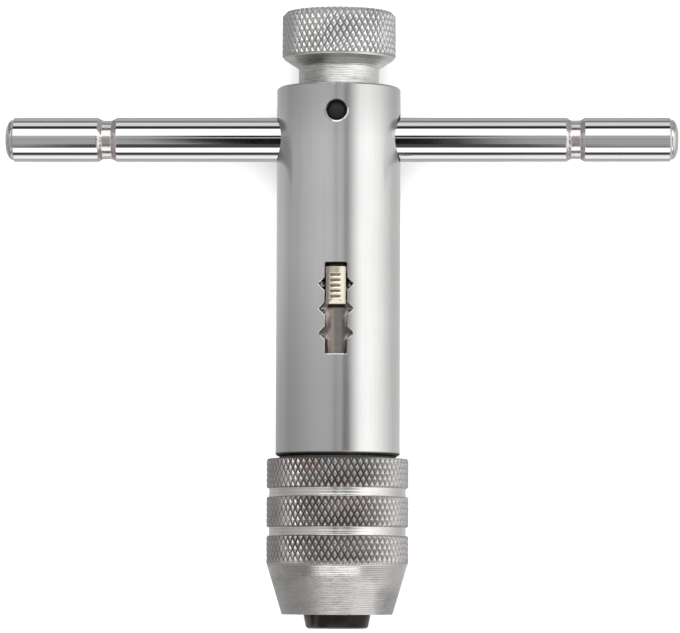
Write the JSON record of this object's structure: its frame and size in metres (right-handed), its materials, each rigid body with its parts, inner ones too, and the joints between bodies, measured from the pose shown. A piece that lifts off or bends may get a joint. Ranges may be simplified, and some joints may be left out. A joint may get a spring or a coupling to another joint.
{
  "type": "ratchet tap wrench",
  "caption": "Tee-handle ratchet tap wrench with a sliding bar, a knurled top knob, a three-way selector button and a tapered chuck sleeve that closes jaws on a square shank.",
  "frame": {"origin": "centre of the jaw tips, on the tool axis", "axes": "+Y from the jaws to the knob, X along the sliding bar, +Z out of the selector window; the tool lies on its back"},
  "size_m": [0.109, 0.0996, 0.0228],
  "materials": {
    "satin_nickel_body": "satin nickel plate",
    "nickel_knob": "knurled nickel plate",
    "nickel_sleeve": "knurled and turned nickel plate",
    "bright_chrome_bar": "polished plate",
    "bare_steel_slide": "bare spring steel",
    "brass_button": "worn plated brass",
    "spring_steel": "drawn wire and strip",
    "hardened_steel": "oiled hardened steel",
    "hardened_ball": "polished ball",
    "black_oxide_jaw": "black oxide",
    "black_pin": "black oxide",
    "dark_washer": "dull rubber"
  },
  "bodies": {
    "body": {"housing": "satin_nickel_body", "head_knob": "nickel_knob", "head_pin": "black_pin", "bar_detent_ball": "hardened_ball", "bar_detent_spring": "spring_steel"},
    "bar": {"tee_bar": "bright_chrome_bar"},
    "selector": {"selector_slide": "bare_steel_slide", "selector_button": "brass_button", "selector_detent_clip": "spring_steel", "pawl_springs": "spring_steel"},
    "pawl": {"pawl": "hardened_steel"},
    "spindle": {"spindle": "hardened_steel", "ratchet_wheel": "hardened_steel", "wheel_spacer": "hardened_steel", "spindle_clip": "spring_steel", "jaw_springs": "spring_steel"},
    "washer": {"sleeve_washer": "dark_washer"},
    "sleeve": {"chuck_sleeve": "nickel_sleeve"},
    "jaw_a": {"jaw_a": "black_oxide_jaw"},
    "jaw_b": {"jaw_b": "black_oxide_jaw"}
  },
  "joints": [
    {"name": "bar_slide", "type": "slide", "parent": "body", "child": "bar", "axis": [1, 0, 0], "range_m": [-0.0383, 0.0375]},
    {"name": "selector_slide", "type": "slide", "parent": "body", "child": "selector", "axis": [0, -1, 0], "range_m": [0, 0.0078], "deforming": ["selector_detent_clip"]},
    {"name": "pawl_drop", "type": "slide", "parent": "selector", "child": "pawl", "axis": [0, 0, -1], "range_m": [0, 0.00075], "stiffness_N_per_m": 400, "springref_m": 0.0012, "deforming": ["pawl_springs"]},
    {"name": "spindle_turn", "type": "hinge", "parent": "body", "child": "spindle", "pos_m": [0, 0.03487, 0], "axis": [0, 1, 0], "continuous": true},
    {"name": "sleeve_travel", "type": "slide", "parent": "spindle", "child": "washer", "axis": [0, -1, 0], "range_m": [0, 0.005]},
    {"name": "sleeve_turn", "type": "hinge", "parent": "washer", "child": "sleeve", "pos_m": [0, 0.00225, 0], "axis": [0, -1, 0], "range_deg": [0, 1201]},
    {"name": "jaw_a_slide", "type": "slide", "parent": "spindle", "child": "jaw_a", "axis": [0.7071, 0, 0.7071], "range_m": [0, 0.000982], "deforming": ["jaw_springs"]},
    {"name": "jaw_b_slide", "type": "slide", "parent": "spindle", "child": "jaw_b", "axis": [-0.7071, 0, -0.7071], "range_m": [0, 0.000982]}
  ],
  "couplings": [
    {"joint": "sleeve_turn", "follows": "sleeve_travel", "rad_per_m": 4188.8},
    {"joint": "jaw_a_slide", "follows": "sleeve_travel", "ratio": 0.19438},
    {"joint": "jaw_b_slide", "follows": "sleeve_travel", "ratio": 0.19438}
  ]
}
